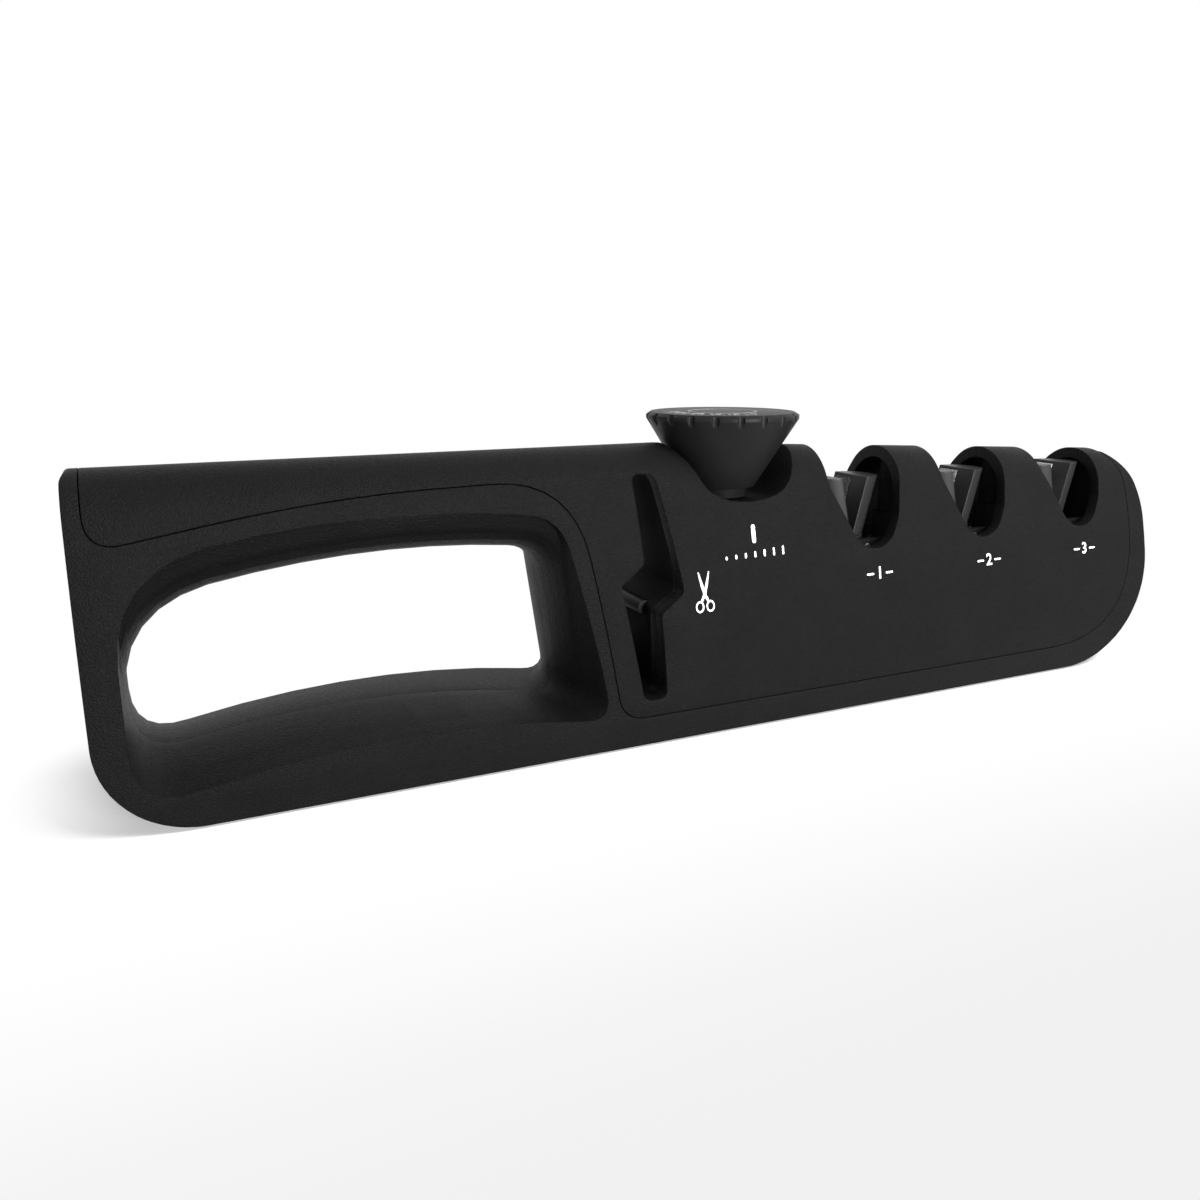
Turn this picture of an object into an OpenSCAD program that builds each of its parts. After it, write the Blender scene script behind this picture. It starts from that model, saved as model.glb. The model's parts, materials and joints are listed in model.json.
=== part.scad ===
/* [Body] */
// Length of the body
body_len = 241.6; // [220:0.2:260]
// Half of the body's depth at its base
body_half = 18; // [17:0.5:20]
// Height of the top edge at the handle end
body_h = 58.4; // [56:0.2:62]
// Radius of the two bulging faces
flank_r = 148; // [120:1:200]
// Height at which the faces stand upright
flank_z = 5; // [2:0.5:8]
// Distance from the left end at which the top starts to fall
fall_at = 108; // [100:1:112]
// Fall of the top towards the right end, in degrees
fall_deg = 2.86; // [1:0.1:3.5]
// Corner radius, lower left
corner_low_left = 16; // [8:0.5:20]
// Corner radius, upper left
corner_top_left = 1.8; // [1:0.1:4]
// Corner radius, lower right
corner_low_right = 27; // [15:0.5:30]
// Corner radius, upper right
corner_top_right = 23; // [15:0.5:25]
// Wall of the two body halves
wall = 2.2; // [1.8:0.1:2.6]

/* [Finger opening] */
// Left edge of the opening, from the left end
open_left = 5.3; // [5:0.1:8]
// Right edge of the opening at its foot
open_right_at = 90.6; // [84:0.2:90.8]
// Height of the opening's lower left corner
open_low = 4.4; // [4:0.1:6]
// Rise of the lower right corner above the lower left one
open_low_rise = 2; // [0:0.1:3]
// Height of the opening's upper left corner at the faces
open_high = 42.8; // [40:0.2:44]
// Rise of the upper right corner above the upper left one
open_high_rise = 3.6; // [0:0.1:4]
// How far the right edge leans to the left at its top
open_lean = 7.2; // [2:0.2:8]
// Rise of the lower edge in its middle
open_low_bow = 4.7; // [2:0.1:6]
// Rise of the upper edge in its middle
open_high_bow = 4; // [1:0.1:5]
// How far the lower wall bulges at the seam
crown_low = 3; // [1:0.2:4]
// How far the right wall bulges at the seam
crown_right = 5.4; // [1:0.2:6]
// How far the left wall bulges at the seam
crown_left = 0.4; // [0.2:0.1:1.5]
// How far the round underside of the grip hangs at the seam
crown_high = 7.2; // [4:0.2:9]
// Length that the lower left corner takes from its sides
open_turn_left = 10; // [6:0.5:12]
// Length that the upper left corner takes from its sides
open_turn_top = 14.5; // [8:0.5:15]
// Length that each right corner takes from its sides
open_turn_right = 6; // [4:0.5:9]

/* [Cover] */
// Wall of the cover
cover_t = 2.6; // [2:0.1:3]
// Gap between the cover's edge and the body
cover_gap = 0.2; // [0.1:0.05:0.4]
// Left edge of the cover
cover_left = 2.8; // [2:0.1:4]
// Height of the cover's edge over the opening, left
cover_sill_left = 46.6; // [46.5:0.1:49]
// Place of the bend in the cover's edge over the opening
cover_bow_at = 40; // [34:0.5:46]
// Height of the cover's edge at that bend
cover_bow_z = 52.7; // [50:0.1:54]
// Height of the cover's edge over the opening, right
cover_sill_right = 53.5; // [52:0.1:55]
// Place of the corner between the sill and the drop
cover_knee_at = 84.9; // [80:0.1:86]
// Place of the corner at the foot of the drop
cover_toe_at = 92.5; // [92:0.1:96]
// Height of the cover's lower edge
cover_foot_z = 6.4; // [5.5:0.1:8]
// Width of the body's rim that shows at the right end
end_rim = 5.5; // [3:0.1:7]

/* [Knife cuts] */
// Place of the first cut, from the left end
cut_at = 155.4; // [154:0.1:157]
// Distance from cut to cut
cut_pitch_at = 31.85; // [30:0.05:32]
// Height of the bottom of the cuts
cut_low = 34.9; // [34:0.1:37]
// Radius of the round bottom of a cut
cut_r = 6.3; // [5:0.1:6.6]
// Height at which the cut's sides turn upright
cut_knee_z = 50.6; // [48:0.2:52]
// Reach of the cut's steep side at that height
cut_steep = 7.9; // [6.5:0.1:8.5]
// Reach of the cut's flared side at that height
cut_flare = 11.9; // [10:0.1:12.5]

/* [Scissors slot] */
// Middle of the slot, from the left end
slit_at = 100; // [99.5:0.1:100.5]
// Height of the slot's middle
slit_z = 31.5; // [30:0.1:32]
// Half of the slot's height
slit_half_h = 21.9; // [18:0.1:22.2]
// Reach of the slot's ends to their wide side
slit_wide = 2.8; // [2:0.1:3.2]
// Reach of the slot's ends to their narrow side
slit_narrow = 2.3; // [2:0.1:3]
// Reach of the slot's waist
slit_waist = 1.5; // [1.2:0.1:2]
// Reach of the two steps in the slot's middle
slit_step = 6.9; // [5.5:0.1:7]

/* [Knob] */
// Place of the knob's axis, from the left end
knob_at = 124; // [123.5:0.1:124.5]
// Radius of the knob's rim
knob_r = 16; // [14:0.1:16.5]
// Height of the knob's top edge
knob_top = 64.3; // [63:0.1:66]
// Radius of the cone's lower end
knob_low_r = 7.2; // [6.5:0.1:8]
// Height of the cone's lower end
knob_low_z = 48.8; // [48.2:0.1:50]
// Radius of the knob's neck
neck_r = 5.6; // [5.4:0.1:6]
// Number of notches in the rim
notch_count = 20; // [12:1:30]
// Radius of the bowl around the knob
bowl_r = 14.9; // [13:0.1:16]
// Height of the bowl's floor
bowl_z = 46.3; // [46:0.1:47]
// Radius of the corner at the foot of the bowl
bowl_turn = 5.5; // [3:0.1:6]
// Turn of the knob from the smallest to the largest angle, in degrees
knob_turn = 100; // [60:5:110]

/* [Holders] */
// Lean of the abrasive faces at rest, in degrees
lean_rest = 14; // [12:0.5:16]
// Lean of the abrasive faces at the end of the knob's turn, in degrees
lean_max = 24; // [20:0.5:25]
// Height of the holders' pivots
pivot_z = 34; // [33.8:0.1:34.4]
// Half distance between the two pivots of a cut
pivot_half = 1.9; // [1.8:0.05:2.2]
// Radius of a holder's round back
hold_r = 5.7; // [4.8:0.1:5.8]
// Height of the holders' tops
hold_top = 49.2; // [47:0.1:49.4]
// Reach of a lever's peg from its pivot
peg_reach = 6.7; // [6:0.1:7]
// Drop of a lever's peg below its pivot
peg_drop = 4.5; // [4.2:0.1:5]
// Travel of the slide bar
slide_travel = 3.2; // [2.6:0.1:3.2]
// Thickness of an abrasive plate
plate_t = 1.5; // [1.2:0.1:1.8]
// Width of an abrasive plate
plate_w = 5.4; // [4:0.1:6]
// Height of an abrasive plate
plate_h = 11.4; // [9:0.1:11.6]

/* [Base] */
// How far the foot pad stands below the body
foot_proud = 0.5; // [0.3:0.1:1]
// Thickness of the foot pad
pad_t = 1.1; // [1:0.1:1.5]
// Thickness of the base plate
base_t = 1.6; // [1.2:0.1:2]

/* [Hidden] */
$fn = 64;
fine = 180;
// Overrun of cuts past a face
over = 1;
cut_count = 3;
stations = [0 : cut_count - 1];
both = [-1, 1];

// Places along the body are given for its real length and follow it when it changes
real_len = 241.6;
stretch = body_len / real_len;
fall_x = fall_at * stretch;
open_right = open_right_at * stretch;
cover_bow_x = cover_bow_at * stretch;
cover_knee_x = cover_knee_at * stretch;
cover_toe_x = cover_toe_at * stretch;
cut_x = cut_at * stretch;
cut_pitch = cut_pitch_at * stretch;
slit_x = slit_at * stretch;
knob_x = knob_at * stretch;

// The arch section: two flank circles and a crest circle that touches both
reach = flank_r - body_half;
crest_fall = flank_r - (body_h - flank_z);
carry = (reach * reach + crest_fall * crest_fall) / (2 * crest_fall);
crest_r = flank_r - carry;
crest_z = body_h - crest_r;
crest_lean = asin((carry - crest_fall) / carry);
flank_steps = 12;
crest_steps = 29;

// Clearances
fit_slip = 0.05;
fit_fixed = 0.03;
fit_loose = 0.3;
fit_cam = 0.12;
slot_ease = 0.02;

// Base levels, counted up from the surface that the part stands on
plate_low = pad_t;
recess_z = plate_low + base_t + fit_slip;
floor_z = recess_z + wall;
pad_left = 20;
pad_right_gap = 30;
pad_half = 11;
base_margin = 3;
base_side = 2;

// Tub rim and scissors bay
tub_top = 27;
grip_hollow_z = 50.4;
grip_hollow_in = 28;
grip_hollow_len = 46;
grip_hollow_half = 4;
grip_hollow_h = 2.4;
tub_half = 11.6;
bay_gap = 0.8;
bay_side = 1.9;
bay_left = open_right + bay_gap;
bay_right = slit_x + slit_step + bay_side;

// Corner lengths of the cover's outline
turn_start = 1;
turn_sill = 5.5;
turn_bow = 20;
turn_knee = 15;
turn_toe = 5;
turn_heel = 27;
turn_steps = 8;

// Corner lengths and bend heights of the scissors slot
slit_end_turn = 1.9;
slit_step_turn = 0.8;
slit_waist_share = 0.23;
slit_step_share = 0.055;
slit_turn_steps = 5;
rod_r = 1.5;
rod_half = 8;
rod_x = 2.1;
rod_z_share = 0.256;

// Knob details
rim_h = 0.7;
rim_in = 0.9;
rim_drop = 1.3;
rim_low = knob_top - rim_drop;
top_r = knob_r - rim_in;
notch_r = 0.75;
notch_h = 2.6;
dial_r = 13.6;
dial_t = 0.9;
shaft_r = 2.5;
shaft_low = 19.2;
shaft_grip = 7.2;
shaft_top = knob_low_z + shaft_grip;
screw_head_r = 2.9;
screw_head_h = 1.8;
knob_seat_t = 1.6;
knob_seat_z = shaft_top + knob_seat_t;
knob_screw_r = 1.2;
knob_screw_len = 10;
boss_r = 6.2;
boss_low = 38.6;
bush_r = 3.8;
bush_flange_r = 4.8;
bush_flange_t = 0.8;
bowl_wall = 2.2;

// Cam disc and detent
disc_r = 11.3;
disc_low = 33;
disc_t = 3;
hub_r = 3.8;
hub_low = 28;
post_gap = 1;
post_top = hub_low - post_gap;
post_r = 5.5;
cam_start = 6;
cam_pin_r = 1.1;
cam_steps = 24;
cam_margin_deg = 1.5;
click_count = 5;
click_r = 8;
click_depth = 0.9;
ball_r = 1.6;
ball_gap = 0.15;
ball_wall = 1.4;
ball_post_drop = 1.2;
well_low = 20;

// Slide bar and its guide pins
bar_y = 5.6;
bar_t = 1.6;
bar_low = 22;
bar_drop = 1.4;
bar_high = pivot_z - bar_drop;
bar_lip = 2.8;
flange_t = 2;
flange_gap = 0.6;
flange_top = disc_low - flange_gap;
flange_y = -2.4;
guide_z = 25;
guide_r = 1;
guide_head_r = 1.7;
guide_head_t = 0.6;

// Chassis
chassis_half = 9.2;
chassis_t = 1.6;
chassis_low = 14;
chassis_floor_t = 2;
chassis_reach = 13;
chassis_side = 12.4;
chassis_left = knob_x - chassis_reach;
chassis_right = cut_x + (cut_count - 1) * cut_pitch + chassis_side;
chassis_rise = 1.8;
chassis_top = pivot_z + chassis_rise;
side_left = cut_x - chassis_side;
column_r = 4.2;
column_top = 40;
column_seat = 35;

// Holders, from the pivot
hub_half = 5.3;
pin_r = 0.8;
hub_holder_r = pivot_half - fit_loose / 2;
peg_r = 1;
peg_gap = 0.1;
arm_w = 3;
arm_y = 1.4;
arm_out = 4.4;
block_z = 2;
block_lap = 0.5;
face_in = 0.3;
face_x = pivot_half + face_in;
plate_z = 3;
plate_proud = 0.15;
plate_y = 2.3;
neck_w = 2.6;
neck_half = 4.9;
lean_travel = lean_max - lean_rest;

// Screws
screw_r = 1.3;
head_r = 2.6;
head_h = 1.7;
boss_screw_r = 3.2;
post_screw_r = 2.8;
post_rise = 5;
floor_grip = 7;
cover_grip = 8;

// Shell screws: place from the left end, height, seat of the head and tip of the shank
grip_seat = 3.5;
grip_tip = 4.2;
tub_seat = 7;
tub_tip = 6;
grip_screw_z = 51.1;
grip_screw_in = 16.7;
tub_screw_z = floor_z + boss_screw_r + over;
tub_screw_left = 19;
tub_screw_pitch = 28;
tub_screw_right = 21;
shell_screws_at = [
  [open_left + grip_screw_in, grip_screw_z, grip_seat, grip_tip],
  [bay_left - boss_screw_r - fit_loose, grip_screw_z, grip_seat, grip_tip],
  [knob_x + tub_screw_left, tub_screw_z, tub_seat, tub_tip],
  [knob_x + tub_screw_left + tub_screw_pitch, tub_screw_z, tub_seat, tub_tip],
  [chassis_right - tub_screw_right, tub_screw_z, tub_seat, tub_tip]
];

// Other screws, from the left end and from the middle
base_screw_in = 30;
base_screw_near = 6;
base_screw_pitch = 52;
base_screws_y = 7.5;
base_screws_x = [
  open_right - base_screw_in, knob_x + base_screw_near,
  knob_x + base_screw_near + base_screw_pitch
];
chassis_screw_in = 3.5;
chassis_screw_gap = 5.5;
chassis_screw_wide = 6;
chassis_screw_near = 4.5;
chassis_screws_at = [
  [chassis_left + chassis_screw_in, chassis_screw_wide],
  [chassis_right - chassis_screw_gap, chassis_screw_near]
];
cover_screws_x = [for (k = [0 : cut_count - 2]) cut_x + (k + 0.5) * cut_pitch];

// Rounds the corners of an outline: each corner takes turns[i] from its two sides
function unit(v) = v / norm(v);
function bend(a, c, b, t) = (1 - t) * (1 - t) * a + 2 * t * (1 - t) * c + t * t * b;
function rounded(pts, turns, steps) = [
  for (i = [0 : len(pts) - 1])
    let (
      n = len(pts),
      here = pts[i],
      a = here + turns[i] * unit(pts[(i + n - 1) % n] - here),
      b = here + turns[i] * unit(pts[(i + 1) % n] - here)
    )
    for (k = [0 : steps]) bend(a, here, b, k / steps)
];

// One side of the finger opening, bowed, with its ends left to the corners
function bowed(a, b, bow, s) = a + s * (b - a) + [0, 4 * bow * s * (1 - s)];
function side_points(a, b, bow, cut_a, cut_b, steps) =
  let (l = norm(b - a), s0 = cut_a / l, s1 = 1 - cut_b / l)
  [for (k = [0 : steps]) bowed(a, b, bow, s0 + (s1 - s0) * k / steps)];
function corner_points(a, c, b, steps) = [for (k = [1 : steps - 1]) bend(a, c, b, k / steps)];
function last(v) = v[len(v) - 1];

// Outline of the opening at depth y: the crowns fade out towards the faces
grip_half = 11.4;
high_left_share = 1.2;
low_right_share = 0.35;
high_right_share = 0.5;
open_half_shares = [0, 0.16, 0.31, 0.43, 0.52, 0.57, 0.6, 0.8, 1];
open_sections_shares = concat([for (i = [8 : -1 : 1]) -open_half_shares[i]], open_half_shares);
open_half = body_half + over;
side_steps = 7;
corner_steps = 6;
function fade_face(y) = max(0, 1 - (y / body_half) * (y / body_half));
function fade_grip(y) = sqrt(max(0, 1 - (y / grip_half) * (y / grip_half)));
function open_outline(y) =
  let (
    f = fade_face(y),
    g = fade_grip(y),
    low_b = open_low + open_low_rise,
    high_c = open_high + open_high_rise,
    right_c = open_right - open_lean,
    a = [open_left + crown_left * f, open_low + crown_low * f],
    b = [open_right - crown_right * f, low_b + crown_low * f * low_right_share],
    c = [right_c - crown_right * f * high_right_share, high_c - crown_high * g],
    d = [open_left + crown_left * f, open_high - crown_high * g * high_left_share],
    tl = open_turn_left,
    tt = open_turn_top,
    tr = open_turn_right,
    low = side_points(a, b, open_low_bow, tl, tr, side_steps),
    right = side_points(b, c, 0, tr, tr, 2),
    high = side_points(c, d, open_high_bow, tr, tt, side_steps),
    left = side_points(d, a, 0, tt, tl, 2)
  )
  concat(
    low, corner_points(last(low), b, right[0], corner_steps),
    right, corner_points(last(right), c, high[0], corner_steps),
    high, corner_points(last(high), d, left[0], corner_steps),
    left, corner_points(last(left), a, low[0], corner_steps)
  );

// A closed skin over a row of loops that all have the same number of points
module skin(loops) {
  n = len(loops[0]);
  m = len(loops);
  points = [for (l = loops) each l];
  sides = [for (j = [0 : m - 2]) for (i = [0 : n - 1])
    [j * n + i, j * n + (i + 1) % n, (j + 1) * n + (i + 1) % n, (j + 1) * n + i]];
  near = [for (i = [0 : n - 1]) n - 1 - i];
  far = [for (i = [0 : n - 1]) (m - 1) * n + i];
  polyhedron(points = points, faces = concat(sides, [near], [far]), convexity = 6);
}

module place() { translate([-body_len / 2, 0, 0]) children(); }
module across(half) { translate([0, half, 0]) rotate([90, 0, 0]) linear_extrude(2 * half) children(); }
module pin_y(r, y0, y1) { translate([0, y1, 0]) rotate([90, 0, 0]) cylinder(r = r, h = y1 - y0); }

// The arch section as points, from the back foot over the crest to the front foot
function arch_points(t) =
  let (
    f = flank_r - t,
    c = crest_r - t,
    low = -asin(flank_z / f),
    lift = (crest_lean - low) / flank_steps,
    turn = (180 - 2 * crest_lean) / crest_steps,
    flank = [for (i = [0 : flank_steps])
      [f * cos(low + lift * i) - reach, flank_z + f * sin(low + lift * i)]],
    crest = [for (i = [1 : crest_steps - 1])
      [-c * cos(crest_lean + turn * i), crest_z + c * sin(crest_lean + turn * i)]]
  )
  concat(
    [for (p = flank) [-p[0], p[1]]],
    crest,
    [for (i = [flank_steps : -1 : 0]) flank[i]]
  );

// A level stretch and a falling stretch
module arch(t) {
  stops = [-over, fall_x, body_len + over];
  skin([for (x = stops) [for (p = arch_points(t))
    [x, p[0], p[1] - max(0, x - fall_x) * tan(fall_deg)]]]);
}

module corner(x, z, r, turn) {
  translate([x, z]) rotate(turn) difference() {
    translate([-over, -over]) square(r + over);
    translate([r, r]) circle(r = r);
  }
}

module side2d(inset) {
  low = foot_proud + inset;
  high = body_h + over;
  right = body_len - inset;
  difference() {
    translate([inset, low]) square([right - inset, high - low]);
    corner(inset, low, corner_low_left - inset, 0);
    corner(right, low, corner_low_right - inset, 90);
    corner(right, body_h - inset, corner_top_right - inset, 180);
    corner(inset, body_h, corner_top_left, 270);
  }
}

module envelope(t, inset = 0) {
  intersection() {
    across(body_half + over) side2d(inset);
    arch(t);
  }
}

function cover_points() =
  let (top = body_h + 3 * over)
  [
    [cover_left, top],
    [cover_left, cover_sill_left],
    [cover_bow_x, cover_bow_z],
    [cover_knee_x, cover_sill_right],
    [cover_toe_x, cover_foot_z],
    [body_len - end_rim, cover_foot_z],
    [body_len - end_rim, body_h - corner_top_right / 2],
    [body_len - 2 * end_rim, top]
  ];
cover_turns = [
  turn_start, turn_sill, turn_bow, turn_knee, turn_toe, turn_heel, end_rim, turn_start
];

module cover_prism(grow) {
  across(body_half + 2 * over) offset(delta = grow)
    polygon(rounded(cover_points(), cover_turns, turn_steps));
}

module finger_opening() {
  skin([for (s = open_sections_shares)
    let (y = s * open_half)
    [for (p = open_outline(y)) [p[0], y, p[1]]]]);
}

function slit_points() =
  let (
    h = slit_half_h,
    waist = h * slit_waist_share,
    step = h * slit_step_share,
    half = [[slit_wide, h], [-slit_narrow, h], [-slit_waist, waist], [-slit_step, step]]
  )
  concat(half, [for (p = half) -p]);
slit_half_turns = [slit_end_turn, slit_end_turn, slit_step_turn, slit_step_turn];
slit_turns = concat(slit_half_turns, slit_half_turns);

module slit(half) {
  translate([slit_x, 0, slit_z]) across(half) polygon(rounded(slit_points(), slit_turns, slit_turn_steps));
}

// Outline of a cut on the front face; the back face has its mirror image
cut_low_share = 0.9;
cut_drift = 0.6;
module cut_outline() {
  round_z = cut_low + cut_r;
  high = knob_top;
  translate([0, round_z]) circle(r = cut_r, $fn = 48);
  polygon([
    [-cut_r * cut_low_share, round_z], [cut_r, round_z], [cut_steep, cut_knee_z],
    [cut_steep + cut_drift, high], [-cut_flare - cut_drift, high], [-cut_flare, cut_knee_z]
  ]);
}

module knife_cut() {
  reach_y = body_half + over;
  hull() {
    translate([0, over - reach_y, 0]) rotate([90, 0, 0]) linear_extrude(over) cut_outline();
    translate([0, reach_y, 0]) rotate([90, 0, 0]) linear_extrude(over) mirror([1, 0]) cut_outline();
  }
}

module bowl(grow) {
  r = bowl_r + grow;
  low = bowl_z - grow;
  turn = bowl_turn + grow;
  high = knob_top;
  translate([knob_x, 0, 0]) rotate_extrude($fn = fine / 2) {
    translate([0, low]) square([r - turn, high - low]);
    translate([0, low + turn]) square([r, high - low - turn]);
    intersection() {
      translate([r - turn, low + turn]) circle(r = turn);
      translate([0, low]) square([r, turn]);
    }
  }
}

// The halves are hollow in the grip and behind the opening, and solid around it
module hollow() {
  intersection() {
    across(tub_half) side2d(wall);
    translate([bay_left, -body_half, floor_z])
      cube([body_len - end_rim - over - bay_left, 2 * body_half, body_h]);
  }
  translate([grip_hollow_in, -grip_hollow_half, grip_hollow_z])
    cube([grip_hollow_len, 2 * grip_hollow_half, grip_hollow_h]);
}

// The tub is open above its rim, inside the cover
module above_tub() {
  translate([bay_right, -body_half - over, tub_top])
    cube([body_len - end_rim - over - bay_right, 2 * (body_half + over), body_h]);
}

module body_shell() {
  difference() {
    envelope(0);
    difference() {
      cover_prism(cover_gap);
      envelope(cover_t + cover_gap);
    }
    difference() {
      hollow();
      shell_bosses();
      floor_posts();
    }
    finger_opening();
    above_tub();
    slit(body_half + over);
    bowl(bowl_wall + cover_gap);
    base_recess();
    floor_holes();
  }
}

module at_shell_screws() {
  for (p = shell_screws_at) translate([p[0], 0, p[1]]) {
    $seat = p[2];
    $tip = p[3];
    children();
  }
}

module at_base_screws() {
  for (x = base_screws_x) for (s = both) translate([x, s * base_screws_y, 0]) children();
}

module at_chassis_screws() {
  for (p = chassis_screws_at) for (s = both) translate([p[0], s * p[1], 0]) children();
}

module at_cover_screws() {
  for (x = cover_screws_x) translate([x, 0, 0]) children();
}

module shell_bosses() {
  at_shell_screws() pin_y(boss_screw_r, -body_half, body_half);
}

module floor_posts() {
  at_base_screws() cylinder(r = post_screw_r, h = floor_z + post_rise);
  at_chassis_screws() cylinder(r = post_screw_r, h = chassis_low);
}

module floor_holes() {
  at_base_screws() cylinder(r = screw_r + fit_fixed, h = recess_z + post_rise + fit_loose);
  at_chassis_screws() translate([0, 0, chassis_low - floor_grip - fit_loose])
    cylinder(r = screw_r + fit_fixed, h = floor_grip + fit_loose + over);
  at_cover_screws() cylinder(r = head_r + fit_loose, h = floor_z + over);
}

module base_recess() {
  x0 = pad_left - base_margin;
  x1 = body_len - pad_right_gap + base_margin;
  y = pad_half + base_side;
  translate([x0, -y, -over]) cube([x1 - x0, 2 * y, recess_z + over]);
}

module shell_screw_holes() {
  at_shell_screws() {
    pin_y(screw_r + fit_fixed, -$tip - fit_loose, body_half);
    pin_y(head_r + fit_loose, $seat, body_half + over);
  }
}

module half_space(sign) {
  translate([-over, sign < 0 ? -body_half - over : 0, -over])
    cube([body_len + 2 * over, body_half + over, body_h + 3 * over]);
}

module body_front() {
  color("#232323") place() difference() {
    intersection() { body_shell(); half_space(-1); }
    shell_screw_holes();
  }
}

module body_back() {
  color("#262626") place() difference() {
    intersection() { body_shell(); half_space(1); }
    shell_screw_holes();
  }
}

module cover() {
  color("#2b2b2b") place() difference() {
    intersection() {
      envelope(0);
      cover_prism(0);
    }
    difference() {
      envelope(cover_t);
      bowl(bowl_wall);
      translate([knob_x, 0, boss_low]) cylinder(r = boss_r, h = bowl_z - boss_low);
      at_cover_screws() translate([0, 0, column_top]) cylinder(r = boss_screw_r, h = body_h);
    }
    bowl(0);
    slit(body_half + over);
    for (k = stations) translate([cut_x + k * cut_pitch, 0, 0]) knife_cut();
    translate([knob_x, 0, boss_low - over]) cylinder(r = bush_r + fit_fixed, h = bowl_z);
    at_cover_screws() translate([0, 0, column_top - over])
      cylinder(r = screw_r + fit_fixed, h = cover_grip + 2 * over);
  }
}

module base_plate() {
  x0 = pad_left - base_margin + fit_loose;
  x1 = body_len - pad_right_gap + base_margin - fit_loose;
  y = pad_half + base_side - fit_loose;
  color("#1f1f1f") place() difference() {
    translate([x0, -y, plate_low]) cube([x1 - x0, 2 * y, base_t]);
    at_base_screws() translate([0, 0, plate_low - over]) {
      cylinder(r = screw_r + fit_slip, h = base_t + 2 * over);
      cylinder(r = head_r + fit_slip, h = base_t / 2 + over);
    }
  }
}

module foot_pad() {
  color("#303030") place() translate([pad_left, -pad_half, 0])
    cube([body_len - pad_right_gap - pad_left, 2 * pad_half, pad_t]);
}

module at_pivots() {
  for (k = stations) for (s = both)
    translate([cut_x + k * cut_pitch + s * pivot_half, 0, pivot_z]) children();
}

module at_guides() {
  for (x = cover_screws_x) translate([x, 0, guide_z]) children();
}

module chassis_solids() {
  translate([chassis_left, -chassis_half, chassis_low])
    cube([chassis_right - chassis_left, 2 * chassis_half, chassis_floor_t]);
  for (y = [-chassis_half, chassis_half - chassis_t]) translate([side_left, y, chassis_low])
    cube([chassis_right - side_left, chassis_t, chassis_top - chassis_low]);
  translate([knob_x, 0, chassis_low]) cylinder(r = post_r, h = post_top - chassis_low);
  translate([knob_x - click_r, 0, chassis_low])
    cylinder(r = ball_r + ball_wall, h = disc_low - ball_post_drop - chassis_low);
  at_cover_screws() translate([0, 0, chassis_low])
    cylinder(r = column_r, h = column_top - chassis_low - fit_slip);
}

module chassis() {
  color("#1d1d1d") place() difference() {
    chassis_solids();
    translate([knob_x, 0, chassis_low - over]) cylinder(r = bush_r + fit_fixed, h = post_top);
    translate([knob_x - click_r, 0, well_low]) cylinder(r = ball_r + fit_slip, h = disc_low);
    at_cover_screws() translate([0, 0, chassis_low - over]) {
      cylinder(r = head_r + fit_loose, h = column_seat - chassis_low + over);
      cylinder(r = screw_r + fit_slip, h = column_top);
    }
    at_chassis_screws() translate([0, 0, chassis_low - over])
      cylinder(r = screw_r + fit_slip, h = chassis_floor_t + 2 * over);
    at_pivots() pin_y(pin_r + fit_fixed, -chassis_half - over, chassis_half + over);
    at_guides() pin_y(guide_r + fit_fixed, bar_y, chassis_half + over);
  }
}

module at_rods() {
  for (s = both)
    translate([slit_x - s * rod_x, 0, slit_z + s * slit_half_h * rod_z_share]) children();
}

module scissors_guide() {
  color("#191919") place() difference() {
    intersection() {
      envelope(cover_t + fit_slip);
      translate([bay_left + fit_loose, fit_loose - tub_half, floor_z + fit_slip])
        cube([bay_right - bay_left - 2 * fit_loose, 2 * (tub_half - fit_loose), body_h]);
    }
    slit(body_half + over);
    at_rods() pin_y(rod_r + fit_fixed, -rod_half, rod_half);
    bowl(bowl_wall + fit_loose);
  }
}

module scissors_rods() {
  color("#8d8b86") place() at_rods() pin_y(rod_r, -rod_half, rod_half);
}

module adjust_knob() {
  neck_low = bowl_z + fit_loose;
  color("#1a1a1a") place() translate([knob_x, 0, 0]) difference() {
    rotate_extrude($fn = fine) polygon([
      [0, neck_low], [neck_r, neck_low], [neck_r, knob_low_z], [knob_low_r, knob_low_z],
      [knob_r, rim_low], [knob_r, rim_low + rim_h], [top_r, knob_top], [0, knob_top]
    ]);
    translate([0, 0, neck_low - over]) cylinder(r = shaft_r + fit_fixed, h = shaft_top - neck_low + over);
    cylinder(r = knob_screw_r + fit_loose, h = knob_top);
    translate([0, 0, knob_seat_z]) cylinder(r = screw_head_r + fit_loose, h = knob_top);
    translate([0, 0, knob_top - dial_t]) cylinder(r = dial_r + fit_slip, h = knob_top, $fn = fine / 2);
    for (i = [0 : notch_count - 1]) rotate(i * 360 / notch_count)
      translate([knob_r, 0, knob_top - notch_h]) cylinder(r = notch_r, h = notch_h + over, $fn = 24);
  }
}

module dial_disc() {
  color("#3a3a3a") place() translate([knob_x, 0, knob_top - dial_t])
    cylinder(r = dial_r, h = dial_t, $fn = fine / 2);
}

module knob_shaft() {
  color("silver") place() translate([knob_x, 0, 0]) difference() {
    translate([0, 0, shaft_low]) cylinder(r = shaft_r, h = shaft_top - shaft_low);
    translate([0, 0, shaft_top - knob_screw_len])
      cylinder(r = knob_screw_r + fit_fixed, h = knob_screw_len + over);
  }
}

module knob_screw() {
  color("silver") place() translate([knob_x, 0, knob_seat_z]) {
    screw_head(screw_head_r, screw_head_h);
    translate([0, 0, -knob_screw_len]) cylinder(r = knob_screw_r, h = knob_screw_len);
  }
}

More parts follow.
